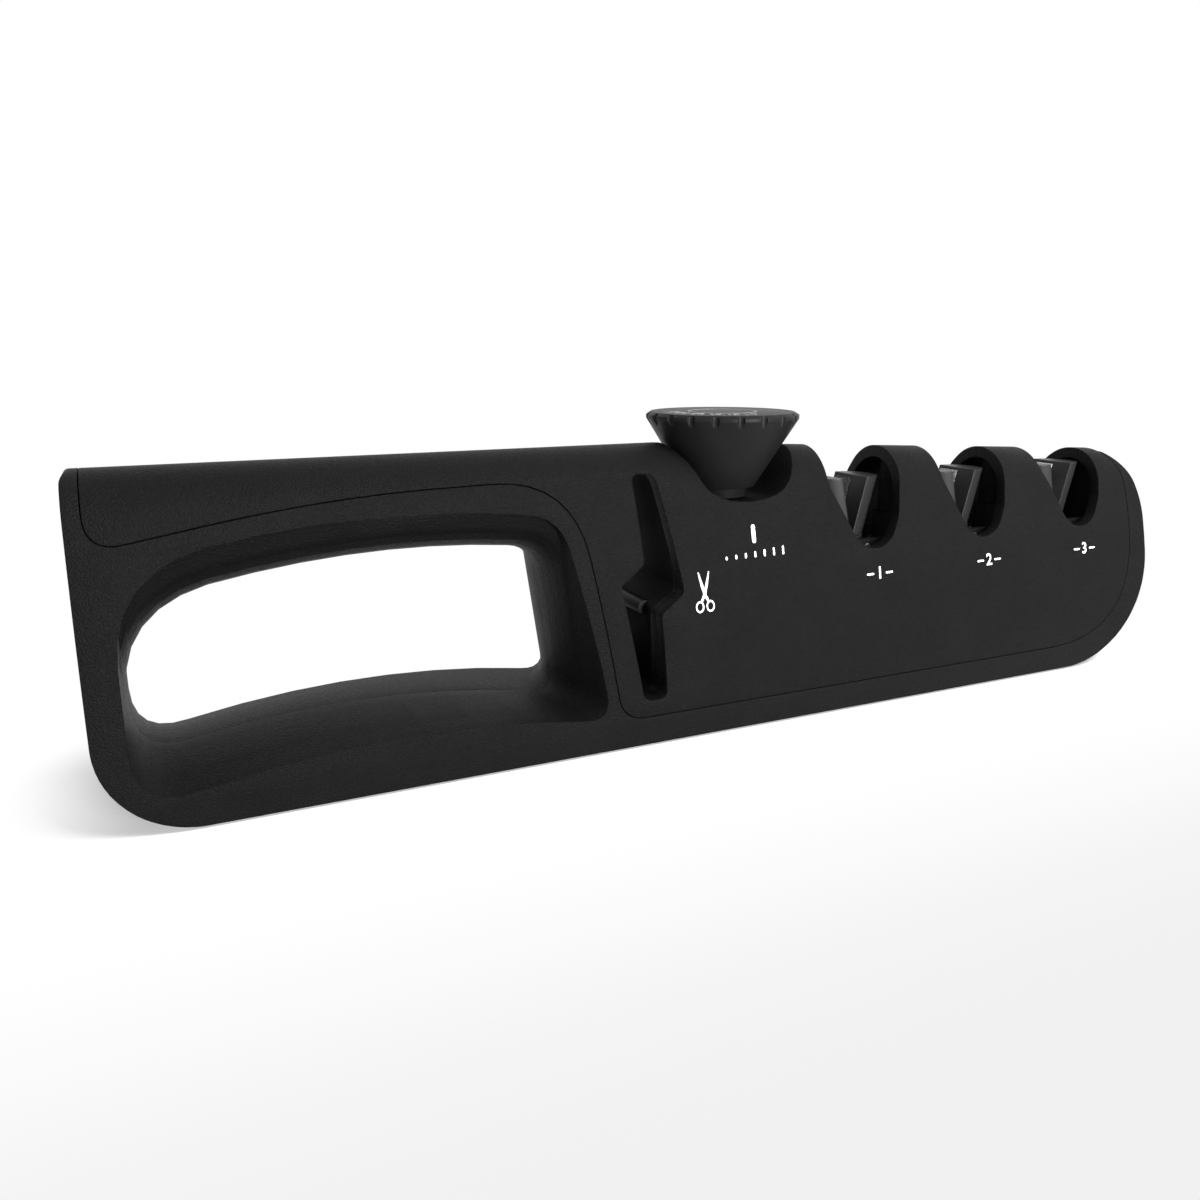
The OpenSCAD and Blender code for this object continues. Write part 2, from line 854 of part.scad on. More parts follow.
// A pan head with a cross recess, standing on its seat
recess_share = 0.1;
module screw_head(r, h) {
  difference() {
    cylinder(r = r, h = h);
    for (turn = [0, 90]) rotate(turn) translate([-r / 2, -r * recess_share, h / 2])
      cube([r, 2 * r * recess_share, h]);
  }
}

module cam_disc() {
  color("#c9c4b4") place() translate([knob_x, 0, 0]) difference() {
    union() {
      translate([0, 0, hub_low]) cylinder(r = hub_r, h = boss_low - fit_loose - hub_low);
      translate([0, 0, disc_low]) cylinder(r = disc_r, h = disc_t, $fn = fine / 2);
    }
    cylinder(r = shaft_r + fit_fixed, h = knob_top);
    translate([0, 0, disc_low - over]) linear_extrude(disc_t + 2 * over) spiral();
    for (i = [0 : click_count]) rotate(180 - i * knob_turn / click_count)
      translate([click_r, 0, disc_low - ball_r + click_depth]) sphere(r = ball_r + fit_cam, $fn = 32);
  }
}

// The slot grows outwards at a steady rate, against the knob's turn
function spiral_at(a, side) =
  (cam_start + slide_travel * a / knob_turn + side) * [cos(-a), sin(-a)];
module spiral() {
  w = cam_pin_r + fit_cam;
  sweep = knob_turn + 2 * cam_margin_deg;
  turns = [for (k = [0 : cam_steps]) sweep * k / cam_steps - cam_margin_deg];
  back = [for (k = [0 : cam_steps]) turns[cam_steps - k]];
  polygon(concat([for (a = turns) spiral_at(a, w)], [for (a = back) spiral_at(a, -w)]));
  for (a = [turns[0], back[0]]) translate(spiral_at(a, 0)) circle(r = w);
}

module upper_bush() {
  color("#b08d57") place() translate([knob_x, 0, 0]) difference() {
    translate([0, 0, boss_low]) cylinder(r = bush_r, h = bowl_z - boss_low);
    cylinder(r = shaft_r + fit_slip, h = knob_top);
  }
}

module lower_bush() {
  color("#b08d57") place() translate([knob_x, 0, 0]) difference() {
    union() {
      translate([0, 0, shaft_low]) cylinder(r = bush_r, h = post_top - shaft_low);
      translate([0, 0, post_top]) cylinder(r = bush_flange_r, h = bush_flange_t);
    }
    cylinder(r = shaft_r + fit_slip, h = knob_top);
  }
}

// Where a peg lies at a given turn of its holder away from rest
function peg_at(turn) = [
  peg_reach * cos(turn) - peg_drop * sin(turn),
  -peg_reach * sin(turn) - peg_drop * cos(turn)
];

module slot_between(p, q, r, y0, y1) {
  d = q - p;
  h = r - slot_ease;
  for (c = [p, q]) translate([c[0], 0, c[1]]) pin_y(r, y0, y1);
  translate([p[0], y0, p[1]]) rotate([0, -atan2(d[1], d[0]), 0])
    translate([0, 0, -h]) cube([norm(d), y1 - y0, 2 * h]);
}

module bar_slots() {
  y0 = bar_y - over;
  y1 = bar_y + bar_t + over;
  rest = peg_at(0);
  moved = peg_at(lean_travel);
  for (k = stations) for (s = both) translate([cut_x + k * cut_pitch, 0, pivot_z])
    slot_between(
      [s * (pivot_half + rest[0]), rest[1]],
      [s * (pivot_half + moved[0]) - slide_travel, moved[1]], peg_r + fit_cam, y0, y1
    );
  at_guides() slot_between([-slide_travel - fit_loose, 0], [fit_loose, 0], guide_r + fit_slip, y0, y1);
}

module slide_bar() {
  left = knob_x + bar_lip;
  right = cut_x + (cut_count - 1) * cut_pitch + pivot_half + peg_reach + bar_lip;
  color("#c8c8c8") place() difference() {
    union() {
      translate([left, bar_y, bar_low]) cube([right - left, bar_t, bar_high - bar_low]);
      translate([knob_x + hub_r + fit_loose, flange_y, flange_top - flange_t])
        cube([cam_start, bar_y + bar_t - flange_y, flange_t]);
    }
    bar_slots();
    translate([knob_x + cam_start, 0, flange_top - flange_t - over])
      cylinder(r = cam_pin_r + fit_fixed, h = flange_t + 2 * over);
  }
}

module follower_pin() {
  low = flange_top - flange_t;
  color("silver") place() translate([knob_x + cam_start, 0, low])
    cylinder(r = cam_pin_r, h = disc_low + disc_t - low);
}

module guide_pins() {
  low = bar_y - fit_loose;
  color("silver") place() at_guides() {
    pin_y(guide_r, low, chassis_half);
    pin_y(guide_head_r, low - guide_head_t, low);
  }
}

module pivot_pins() {
  color("silver") place() at_pivots() pin_y(pin_r, -chassis_half, chassis_half);
}

module detent_ball() {
  color("silver") place() translate([knob_x - click_r, 0, disc_low - ball_r - ball_gap])
    sphere(r = ball_r, $fn = 48);
}

spring_turns = 7;
spring_wire = 0.28;
spring_steps = 14;
spring_sides = 6;
spring_low = well_low + spring_wire;
spring_high = disc_low - 2 * ball_r - ball_gap - fit_loose;
module detent_spring() {
  r = ball_r - 2 * spring_wire;
  count = spring_turns * spring_steps;
  rise = spring_high - spring_low - spring_wire;
  color("silver") place() translate([knob_x - click_r, 0, spring_low]) skin([
    for (j = [0 : count])
      let (a = 360 * j / spring_steps, z = rise * j / count)
      [for (i = [0 : spring_sides - 1])
        let (b = -360 * i / spring_sides, q = r + spring_wire * cos(b))
        [q * cos(a), q * sin(a), z + spring_wire * sin(b)]]
  ]);
}

module shell_screws() {
  color("silver") place() at_shell_screws() {
    pin_y(screw_r, -$tip, $seat);
    translate([0, $seat, 0]) rotate([-90, 0, 0]) screw_head(head_r, head_h);
  }
}

module base_screws() {
  seat = plate_low + base_t / 2;
  color("silver") place() at_base_screws() translate([0, 0, seat]) {
    cylinder(r = screw_r, h = recess_z + post_rise - seat);
    rotate([180, 0, 0]) screw_head(head_r, base_t / 2);
  }
}

module chassis_screws() {
  color("silver") place() at_chassis_screws() {
    translate([0, 0, chassis_low + chassis_floor_t]) screw_head(head_r, head_h);
    translate([0, 0, chassis_low - floor_grip]) cylinder(r = screw_r, h = floor_grip + chassis_floor_t);
  }
}

module cover_screws() {
  color("silver") place() at_cover_screws() translate([0, 0, column_seat]) {
    cylinder(r = screw_r, h = column_top + cover_grip - column_seat);
    rotate([180, 0, 0]) screw_head(head_r, head_h);
  }
}

// The right holder of a cut, in its own frame: the pivot is the origin
module holder_block() {
  intersection() {
    rotate([0, lean_rest, 0]) translate([-face_x, 0, block_z]) intersection() {
      cylinder(r = hold_r, h = body_h);
      translate([0, -hold_r, 0]) cube([hold_r, 2 * hold_r, body_h]);
    }
    translate([-body_half, -body_half, 0]) cube([2 * body_half, 2 * body_half, hold_top - pivot_z]);
  }
}

module holder_arm() {
  arm_len = norm([peg_reach, peg_drop]);
  translate([0, arm_y, 0]) rotate([0, atan2(peg_drop, peg_reach), 0]) translate([0, 0, -arm_w / 2])
    cube([arm_len, arm_out - arm_y, arm_w]);
  translate([peg_reach, 0, -peg_drop]) {
    pin_y(arm_w / 2, arm_y, arm_out);
    pin_y(peg_r, arm_y, bar_y + bar_t + peg_gap);
  }
}

module holder_body(side) {
  pocket = plate_t - plate_proud;
  difference() {
    union() {
      holder_block();
      rotate([0, lean_rest, 0]) translate([-neck_w / 2, -neck_half, 0])
        cube([neck_w, 2 * neck_half, block_z + block_lap]);
      pin_y(hub_holder_r, -hub_half, hub_half);
      holder_arm();
    }
    pin_y(pin_r + fit_slip, -hub_half - over, hub_half + over);
    rotate([0, lean_rest, 0])
      translate([-face_x - over, side * plate_y - plate_w / 2 - fit_fixed, plate_z - fit_fixed])
        cube([over + pocket, plate_w + 2 * fit_fixed, plate_h + 2 * fit_fixed]);
  }
}

module holder_plate(side) {
  rotate([0, lean_rest, 0]) translate([-face_x - plate_proud, side * plate_y - plate_w / 2, plate_z])
    cube([plate_t - fit_fixed, plate_w, plate_h]);
}

// A holder on the left of its cut is the mirror image of the one on the right
module at_holder(k, side) {
  translate([cut_x + k * cut_pitch, 0, pivot_z])
    mirror([side < 0 ? 1 : 0, 0, 0]) translate([pivot_half, 0, 0]) children();
}

module holder(k, side) { color("#242424") place() at_holder(k, side) holder_body(side); }
module plate(k, side, tone) { color(tone) place() at_holder(k, side) holder_plate(side); }

module coarse_holder_left() { holder(0, -1); }
module coarse_holder_right() { holder(0, 1); }
module medium_holder_left() { holder(1, -1); }
module medium_holder_right() { holder(1, 1); }
module fine_holder_left() { holder(2, -1); }
module fine_holder_right() { holder(2, 1); }
module coarse_plate_left() { plate(0, -1, "#3c3c3c"); }
module coarse_plate_right() { plate(0, 1, "#3c3c3c"); }
module medium_plate_left() { plate(1, -1, "#7d7d7a"); }
module medium_plate_right() { plate(1, 1, "#7d7d7a"); }
module fine_plate_left() { plate(2, -1, "#d8d6cf"); }
module fine_plate_right() { plate(2, 1, "#d8d6cf"); }

body_front();
body_back();
cover();
base_plate();
foot_pad();
chassis();
scissors_guide();
scissors_rods();
adjust_knob();
dial_disc();
knob_shaft();
knob_screw();
cam_disc();
upper_bush();
lower_bush();
slide_bar();
follower_pin();
guide_pins();
pivot_pins();
detent_ball();
detent_spring();
shell_screws();
base_screws();
chassis_screws();
cover_screws();
coarse_holder_left();
coarse_holder_right();
medium_holder_left();
medium_holder_right();
fine_holder_left();
fine_holder_right();
coarse_plate_left();
coarse_plate_right();
medium_plate_left();
medium_plate_right();
fine_plate_left();
fine_plate_right();
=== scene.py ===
"""The look of the pull through knife sharpener: materials, prints, floor, light and camera."""

import json
import math

import bmesh
import bpy
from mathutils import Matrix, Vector
from mathutils.bvhtree import BVHTree


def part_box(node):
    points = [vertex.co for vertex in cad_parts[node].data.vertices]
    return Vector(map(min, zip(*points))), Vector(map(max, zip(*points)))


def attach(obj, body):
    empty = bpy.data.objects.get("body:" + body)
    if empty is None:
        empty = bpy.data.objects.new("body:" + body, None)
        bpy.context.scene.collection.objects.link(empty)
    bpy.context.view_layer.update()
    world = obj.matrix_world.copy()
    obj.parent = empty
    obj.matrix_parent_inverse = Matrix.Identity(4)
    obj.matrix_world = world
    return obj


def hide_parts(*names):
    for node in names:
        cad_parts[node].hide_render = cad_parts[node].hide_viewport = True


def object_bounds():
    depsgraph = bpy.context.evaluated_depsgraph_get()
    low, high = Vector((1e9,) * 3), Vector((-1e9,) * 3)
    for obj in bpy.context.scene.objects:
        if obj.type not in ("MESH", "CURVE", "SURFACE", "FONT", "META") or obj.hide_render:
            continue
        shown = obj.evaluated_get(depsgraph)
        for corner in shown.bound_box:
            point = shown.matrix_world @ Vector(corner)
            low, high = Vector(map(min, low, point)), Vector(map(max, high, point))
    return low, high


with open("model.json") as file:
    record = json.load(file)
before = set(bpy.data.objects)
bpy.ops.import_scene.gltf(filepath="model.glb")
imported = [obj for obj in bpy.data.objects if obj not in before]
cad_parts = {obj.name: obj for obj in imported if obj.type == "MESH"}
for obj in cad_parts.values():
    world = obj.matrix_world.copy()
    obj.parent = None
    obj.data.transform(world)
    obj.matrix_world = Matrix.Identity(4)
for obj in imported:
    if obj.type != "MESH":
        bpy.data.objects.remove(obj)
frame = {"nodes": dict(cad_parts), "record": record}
cad_box = [list(corner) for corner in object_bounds()]

MM = 0.001
nodes = frame["nodes"]
GRITS = ("coarse", "medium", "fine")
SIDES = ("left", "right")

# Camera: place, turn to the right, tilt down and focal length, fitted to the photograph
LEFT_END = cad_box[0][0]
CAMERA_AT = Vector((LEFT_END + 12.71 * MM, -180.0 * MM, 77.56 * MM))
CAMERA_YAW = 0.432
CAMERA_PITCH = 0.253
SENSOR_MM = 36
LENS_MM = 29.48

# Places of the prints on the front: distance from the left end and height
TICK_X, TICK_Z, TICK_W, TICK_H = 124 * MM, 40.4 * MM, 0.9 * MM, 3.7 * MM
SCALE_Z, SCALE_STEP, SCALE_COUNT = 36.6 * MM, 2.3 * MM, 7
SCALE_FOOT, SCALE_MARK_W = 0.9 * MM, 0.45 * MM
SNIPS_X, SNIPS_Z, SNIPS_H = 111.4 * MM, 30.2 * MM, 7.4 * MM
SNIPS_DROP = 0.06
LABEL_X = (155.9 * MM, 188.1 * MM, 219.65 * MM)
LABEL_Z, LABEL_H = 29.5 * MM, 2.6 * MM
PRINT_LIFT = 0.03 * MM
PRINT_THICK = 0.05 * MM

# The floor's tone, where it fades into the white backdrop, and the painted shade that dims the
# backdrop's white towards the camera
FLOOR_LEVEL = 0.92
FLOOR_FOOTPRINT = (112 * MM, 12 * MM, 10)
FLOOR_FADE = (0, 26 * MM)
FLOOR_WHITE_SHARES = (0.2, 1.0)
# Painted shade: across this band in front, the floor's white glow drops to the level below,
# standing for less light nearer the camera
FLOOR_PAINTED_SHADE_Y = (-0.045, -0.11)
FLOOR_PAINTED_SHADE = 0.88
FLOOR_HALF = 3.0

# The light from all round, and the softboxes: name, place, size and watts
WORLD_LEVEL = 0.16
SOFTBOXES = (
    ("front_box", (0.15, -0.8, 0.13), (0.45, 0.18), 12),
    ("left_box", (-0.6, -0.45, 0.25), (0.3, 0.25), 1.5),
    ("high_box", (0.28, -0.42, 0.7), (0.3, 0.3), 9),
)
LAMP_AIM = (0, 0, 0.03)


# Materials


class Shader:
    """A principled material with short helpers for its nodes."""

    def __init__(self, name, roughness, specular=0.5, metallic=0.0):
        self.material = bpy.data.materials.new(name)
        self.material.use_nodes = True
        self.tree = self.material.node_tree
        self.main = self.tree.nodes["Principled BSDF"]
        self.main.inputs["Roughness"].default_value = roughness
        self.main.inputs["Specular IOR Level"].default_value = specular
        self.main.inputs["Metallic"].default_value = metallic
        self.place = self.node("ShaderNodeTexCoord").outputs["Object"]

    def node(self, kind, **values):
        made = self.tree.nodes.new(kind)
        for name, value in values.items():
            setattr(made, name, value)
        return made

    def link(self, source, target):
        self.tree.links.new(source, target)

    def noise(self, size, detail=3.0, stretch=(1, 1, 1)):
        """Noise whose features are about size metres across."""
        mapping = self.node("ShaderNodeMapping")
        mapping.inputs["Scale"].default_value = [s / size for s in stretch]
        self.link(self.place, mapping.inputs["Vector"])
        made = self.node("ShaderNodeTexNoise")
        made.inputs["Scale"].default_value = 1
        made.inputs["Detail"].default_value = detail
        self.link(mapping.outputs["Vector"], made.inputs["Vector"])
        return made.outputs["Fac"]

    def cells(self, size):
        """The distance field of cells about size metres across."""
        made = self.node("ShaderNodeTexVoronoi")
        made.inputs["Scale"].default_value = 1 / size
        self.link(self.place, made.inputs["Vector"])
        return made

    def ramp(self, source, stops):
        made = self.node("ShaderNodeValToRGB")
        elements = made.color_ramp.elements
        while len(elements) < len(stops):
            elements.new(0.5)
        for element, (at, colour) in zip(elements, stops):
            element.position = at
            element.color = (*colour, 1)
        self.link(source, made.inputs["Fac"])
        return made.outputs["Color"]

    def span(self, source, low, high):
        made = self.node("ShaderNodeMapRange")
        made.inputs["To Min"].default_value = low
        made.inputs["To Max"].default_value = high
        self.link(source, made.inputs["Value"])
        return made.outputs["Result"]

    def rounded_edges(self, radius):
        made = self.node("ShaderNodeBevel", samples=6)
        made.inputs["Radius"].default_value = radius
        return made.outputs["Normal"]

    def bump(self, height, depth, normal=None):
        made = self.node("ShaderNodeBump")
        made.inputs["Distance"].default_value = depth
        self.link(height, made.inputs["Height"])
        if normal is not None:
            self.link(normal, made.inputs["Normal"])
        return made.outputs["Normal"]

    def set(self, **sources):
        for name, source in sources.items():
            self.link(source, self.main.inputs[name.replace("_", " ")])


def grey(level, warmth=0.0):
    return (level * (1 + warmth), level, level * (1 - warmth))


def moulded(name, level, roughness, grain, depth, edge, specular=0.5):
    """Injection moulded plastic: spark-eroded grain, faint mottling, rounded edges."""
    s = Shader(name, roughness, specular)
    mottle = s.noise(9 * MM, 4)
    s.set(Base_Color=s.ramp(mottle, ((0.3, grey(level * 0.9)), (0.7, grey(level * 1.12)))))
    s.set(Roughness=s.span(s.noise(grain * 3, 2), roughness - 0.05, roughness + 0.06))
    s.set(Normal=s.bump(s.noise(grain, 2), depth, s.rounded_edges(edge)))
    return s.material


def turned_metal(name, colour, roughness):
    """Turned or drawn metal: fine rings along its length."""
    s = Shader(name, roughness, metallic=1.0)
    streak = s.noise(0.5 * MM, 2, stretch=(0.2, 0.2, 4))
    dull = tuple(c * 0.75 for c in colour)
    s.set(Base_Color=s.ramp(streak, ((0.25, dull), (0.75, colour))))
    s.set(Roughness=s.span(streak, roughness - 0.08, roughness + 0.1))
    s.set(Normal=s.bump(streak, 0.01 * MM, s.rounded_edges(0.15 * MM)))
    return s.material


def abrasive(name, dark, light, grit, depth, roughness, metallic):
    """Grit bonded to a plate: each grain has its own tone and stands up a little."""
    s = Shader(name, roughness, metallic=metallic)
    cells = s.cells(grit)
    tone = s.node("ShaderNodeSeparateColor")
    s.link(cells.outputs["Color"], tone.inputs["Color"])
    s.set(Base_Color=s.ramp(tone.outputs["Red"], ((0.15, dark), (0.9, light))))
    s.set(Roughness=s.span(tone.outputs["Green"], roughness - 0.15, roughness + 0.15))
    s.set(Normal=s.bump(cells.outputs["Distance"], depth, s.rounded_edges(0.2 * MM)))
    return s.material


def ink(name, level):
    """Screen-printed ink: nearly even, slightly thin in places."""
    s = Shader(name, 0.55)
    thin = s.noise(0.35 * MM, 3)
    s.set(Base_Color=s.ramp(thin, ((0.3, grey(level * 0.86)), (0.6, grey(level)))))
    s.set(Normal=s.bump(thin, 0.01 * MM))
    return s.material


BODY = moulded("body_plastic", 0.0035, 0.43, 0.3 * MM, 0.3 * MM, 0.3 * MM, specular=0.05)
COVER = moulded("cover_plastic", 0.0035, 0.43, 0.3 * MM, 0.3 * MM, 0.3 * MM, specular=0.05)
KNOB = moulded("knob_plastic", 0.008, 0.4, 0.3 * MM, 0.012 * MM, 0.2 * MM, specular=0.07)
HOLDER = moulded("holder_plastic", 0.016, 0.36, 0.5 * MM, 0.01 * MM, 0.4 * MM, specular=0.2)
INNER = moulded("inner_plastic", 0.005, 0.6, 0.4 * MM, 0.02 * MM, 0.3 * MM, specular=0.04)
RUBBER = moulded("foot_rubber", 0.018, 0.8, 0.6 * MM, 0.05 * MM, 0.3 * MM, specular=0.2)
ACETAL = moulded("cam_acetal", 0.62, 0.42, 0.6 * MM, 0.01 * MM, 0.2 * MM)
STEEL = turned_metal("plain_steel", (0.58, 0.58, 0.6), 0.32)
BRASS = turned_metal("turned_brass", (0.72, 0.53, 0.26), 0.3)
# The carbide rods are dark grey metal, and their colour is darkened further to near black as
# painted shade, so that they read as the shaded inside of the scissors slot
CARBIDE_DARKENED_AS_SHADE = turned_metal("ground_carbide_painted_shade", (0.03, 0.03, 0.032), 0.5)
GRIT_LOOKS = {
    "coarse": abrasive("coarse_grit", grey(0.01), grey(0.09), 0.22 * MM, 0.06 * MM, 0.5, 0.2),
    "medium": abrasive("medium_grit", grey(0.14), grey(0.5), 0.16 * MM, 0.03 * MM, 0.42, 0.5),
    "fine": abrasive(
        "fine_ceramic", grey(0.66, 0.02), grey(0.8, 0.02), 0.3 * MM, 0.008 * MM, 0.4, 0.0
    ),
}
WHITE_INK = ink("white_ink", 0.82)
GREY_INK = ink("grey_ink", 0.34)

# Moulded and pressed nodes get real roundings along their edges and smooth curved faces

ROUNDINGS = {
    "body_front": 0.45 * MM, "body_back": 0.45 * MM, "cover": 0.45 * MM,
    "adjust_knob": 0.3 * MM, "dial_disc": 0.15 * MM, "scissors_guide": 0.3 * MM,
    "base_plate": 0.3 * MM, "foot_pad": 0.4 * MM,
}
ROUND_SEGMENTS = 3
EDGE_FROM = math.radians(28)
SHARP_FROM = EDGE_FROM + math.radians(5)
WELD = 0.001 * MM


def body_of(name):
    bodies = frame["record"]["behaviour"]["bodies"]
    return next(body for body, members in bodies.items() if name in members)


def refined(name, width):
    """A copy of a CAD node with welded seams, rounded edges and smooth curved faces."""
    mesh = bpy.data.meshes.new(f"{name}_moulded")
    work = bmesh.new()
    work.from_mesh(nodes[name].data)
    bmesh.ops.remove_doubles(work, verts=work.verts, dist=WELD)
    work.to_mesh(mesh)
    work.free()
    piece = bpy.data.objects.new(mesh.name, mesh)
    bpy.context.collection.objects.link(piece)
    edge = piece.modifiers.new("rounding", "BEVEL")
    edge.width, edge.segments = width, ROUND_SEGMENTS
    edge.limit_method, edge.angle_limit = "ANGLE", EDGE_FROM
    edge.miter_outer = "MITER_ARC"
    graph = bpy.context.evaluated_depsgraph_get()
    made = bpy.data.meshes.new_from_object(piece.evaluated_get(graph))
    piece.modifiers.clear()
    piece.data = made
    made.shade_smooth()
    made.set_sharp_from_angle(angle=SHARP_FROM)
    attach(piece, body_of(name))
    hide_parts(name)
    nodes[name] = piece


for name, width in ROUNDINGS.items():
    refined(name, width)

LOOKS = {
    "body_front": BODY, "body_back": BODY, "cover": COVER, "base_plate": INNER,
    "foot_pad": RUBBER, "chassis": INNER, "scissors_guide": INNER,
    "scissors_rods": CARBIDE_DARKENED_AS_SHADE, "adjust_knob": KNOB, "dial_disc": KNOB,
    "knob_shaft": STEEL, "knob_screw": STEEL, "cam_disc": ACETAL,
    "upper_bush": BRASS, "lower_bush": BRASS, "slide_bar": STEEL,
    "follower_pin": STEEL, "guide_pins": STEEL, "pivot_pins": STEEL,
    "detent_ball": STEEL, "detent_spring": STEEL, "shell_screws": STEEL,
    "base_screws": STEEL, "chassis_screws": STEEL, "cover_screws": STEEL,
}
for grit in GRITS:
    for side in SIDES:
        LOOKS[f"{grit}_holder_{side}"] = HOLDER
        LOOKS[f"{grit}_plate_{side}"] = GRIT_LOOKS[grit]


def dress(node, material):
    node.data.materials.clear()
    node.data.materials.append(material)
    for face in node.data.polygons:
        face.material_index = 0


for name, material in LOOKS.items():
    dress(nodes[name], material)


# Prints


def tree_of(name):
    """The node's surface in world space."""
    node = nodes[name]
    to_world = node.matrix_world
    corners = [to_world @ v.co for v in node.data.vertices]
    return BVHTree.FromPolygons(corners, [tuple(p.vertices) for p in node.data.polygons])


def add_piece(name, corners, faces, material, body, slot):
    mesh = bpy.data.meshes.new(name)
    mesh.from_pydata(corners, [], faces)
    mesh.validate()
    mesh.materials.append(material)
    piece = bpy.data.objects.new(name, mesh)
    bpy.context.collection.objects.link(piece)
    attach(piece, body)


def thick(corners, faces, offsets):
    """A sheet closed to a thin solid: the offsets lead from each corner to its underside."""
    count = len(corners)
    under = [c + o for c, o in zip(corners, offsets)]
    edges = {}
    for face in faces:
        for a, b in zip(face, face[1:] + face[:1]):
            edges[(a, b)] = edges.get((a, b), 0) + 1
    rim = [(a, b) for a, b in edges if (b, a) not in edges]
    closed = [tuple(f) for f in faces]
    closed += [tuple(i + count for i in reversed(f)) for f in faces]
    closed += [(b, a, a + count, b + count) for a, b in rim]
    return list(corners) + under, closed


def merged(shapes):
    corners, faces = [], []
    for shape_corners, shape_faces in shapes:
        start = len(corners)
        corners += shape_corners
        faces += [[i + start for i in face] for face in shape_faces]
    return corners, faces


def letters(text, height, at=(0, 0), turn=0.0):
    """Figures as a flat shape, height tall, centred on at and turned by turn."""
    curve = bpy.data.curves.new("figures", "FONT")
    curve.body = text
    curve.align_x = "CENTER"
    curve.align_y = "CENTER"
    curve.size = height / 0.7
    curve.offset = height * 0.02
    curve.resolution_u = 3
    holder = bpy.data.objects.new("figures", curve)
    bpy.context.collection.objects.link(holder)
    mesh = holder.to_mesh()
    corners = [(v.co.x, v.co.y) for v in mesh.vertices]
    faces = [list(p.vertices) for p in mesh.polygons]
    holder.to_mesh_clear()
    bpy.data.objects.remove(holder)
    bpy.data.curves.remove(curve)
    c, s = math.cos(turn), math.sin(turn)
    placed = [(at[0] + c * u - s * v, at[1] + s * u + c * v) for u, v in corners]
    return placed, faces


def bar(u, v, w, h, turn=0.0):
    """A round-ended bar, w by h, centred on u, v before it is turned about zero."""
    r = min(w, h) / 2
    steps = 6
    ends = []
    for quarter, (su, sv) in enumerate(((1, 1), (-1, 1), (-1, -1), (1, -1))):
        for i in range(steps + 1):
            a = math.pi / 2 * (quarter + i / steps)
            across = u + su * (w / 2 - r) + r * math.cos(a)
            ends.append((across, v + sv * (h / 2 - r) + r * math.sin(a)))
    c, s = math.cos(turn), math.sin(turn)
    placed = [(c * a - s * b, s * a + c * b) for a, b in ends]
    return placed, [list(range(len(placed)))]


def ring(u, v, r, w, squeeze=1.0, steps=24):
    """A ring with its middle line at radius r and a stroke w wide."""
    turns = [2 * math.pi * i / steps for i in range(steps)]
    outer, inner = (
        [(u + squeeze * rim * math.cos(a), v + rim * math.sin(a)) for a in turns]
        for rim in (r + w / 2, r - w / 2)
    )
    faces = [[i, (i + 1) % steps, steps + (i + 1) % steps, steps + i] for i in range(steps)]
    return outer + inner, faces


# One half of the scissors sign, in shares of its height: shank, rivet, pointed blade
BLADE_SHARES = (
    (-0.05, -0.04), (-0.14, -0.22), (-0.08, -0.24), (0.03, -0.05),
    (0.11, 0.2), (0.18, 0.56), (0.15, 0.57),
)


def blade(side, h):
    """One blade of the scissors sign, leaning to one side above the rivet."""
    points = [(side * u * h, v * h) for u, v in BLADE_SHARES]
    order = list(range(len(points)))
    return points, [order if side > 0 else order[::-1]]


cover_surface = tree_of("cover")


def on_front(u, v):
    """The point of the cover's front face at a distance from the left end and a height."""
    start = Vector((LEFT_END + u, -60 * MM, v))
    hit, normal, _, _ = cover_surface.ray_cast(start, Vector((0, 1, 0)))
    return hit + normal * PRINT_LIFT, normal


def front_print(name, shape, at):
    flat, faces = shape
    hits = [on_front(at[0] + u, at[1] + v) for u, v in flat]
    corners = [hit for hit, _ in hits]
    under = [-normal * PRINT_THICK for _, normal in hits]
    add_piece(name, *thick(corners, faces, under), WHITE_INK, "body", "cover")


def scale_marks():
    """A row of plain marks under the pointer, longer from one end to the other."""
    marks = []
    middle = (SCALE_COUNT - 1) / 2
    for i in range(SCALE_COUNT):
        share = i / (SCALE_COUNT - 1)
        height = (0.7 + 1.1 * share) * MM
        across = (i - middle) * SCALE_STEP
        marks.append(bar(across, height / 2 - SCALE_FOOT, SCALE_MARK_W, height))
    return merged(marks)


def snips(h):
    """Open scissors with their points up."""
    rings = [ring(side * 0.165 * h, -0.36 * h, 0.135 * h, 0.05 * h, 0.8) for side in (-1, 1)]
    corners, faces = merged([blade(1, h), blade(-1, h)] + rings)
    return [(u, v - SNIPS_DROP * h) for u, v in corners], faces


def label(number):
    """A plain number between two short dashes."""
    dash, gap = 2.0 * MM, 2.6 * MM
    sides = [bar(s * gap, 0, dash, 0.42 * MM) for s in (-1, 1)]
    return merged([letters(str(number), LABEL_H)] + sides)


front_print("pointer_tick", bar(0, 0, TICK_W, TICK_H), (TICK_X, TICK_Z))
front_print("scale_marks", scale_marks(), (TICK_X, SCALE_Z))
front_print("scissors_sign", snips(SNIPS_H), (SNIPS_X, SNIPS_Z))
for number, x in enumerate(LABEL_X, 1):
    front_print(f"label_{number}", label(number), (x, LABEL_Z))


# Dial: a number for each click around the disc's edge, on the knob's body

DIAL_ANGLES = (14, 16, 18, 20, 22, 24)
DIAL_TURN = math.radians(20)
dial_low, dial_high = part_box("dial_disc")
dial_x = (dial_low[0] + dial_high[0]) / 2
dial_r = (dial_high[0] - dial_low[0]) / 2
dial_z = dial_high[2]


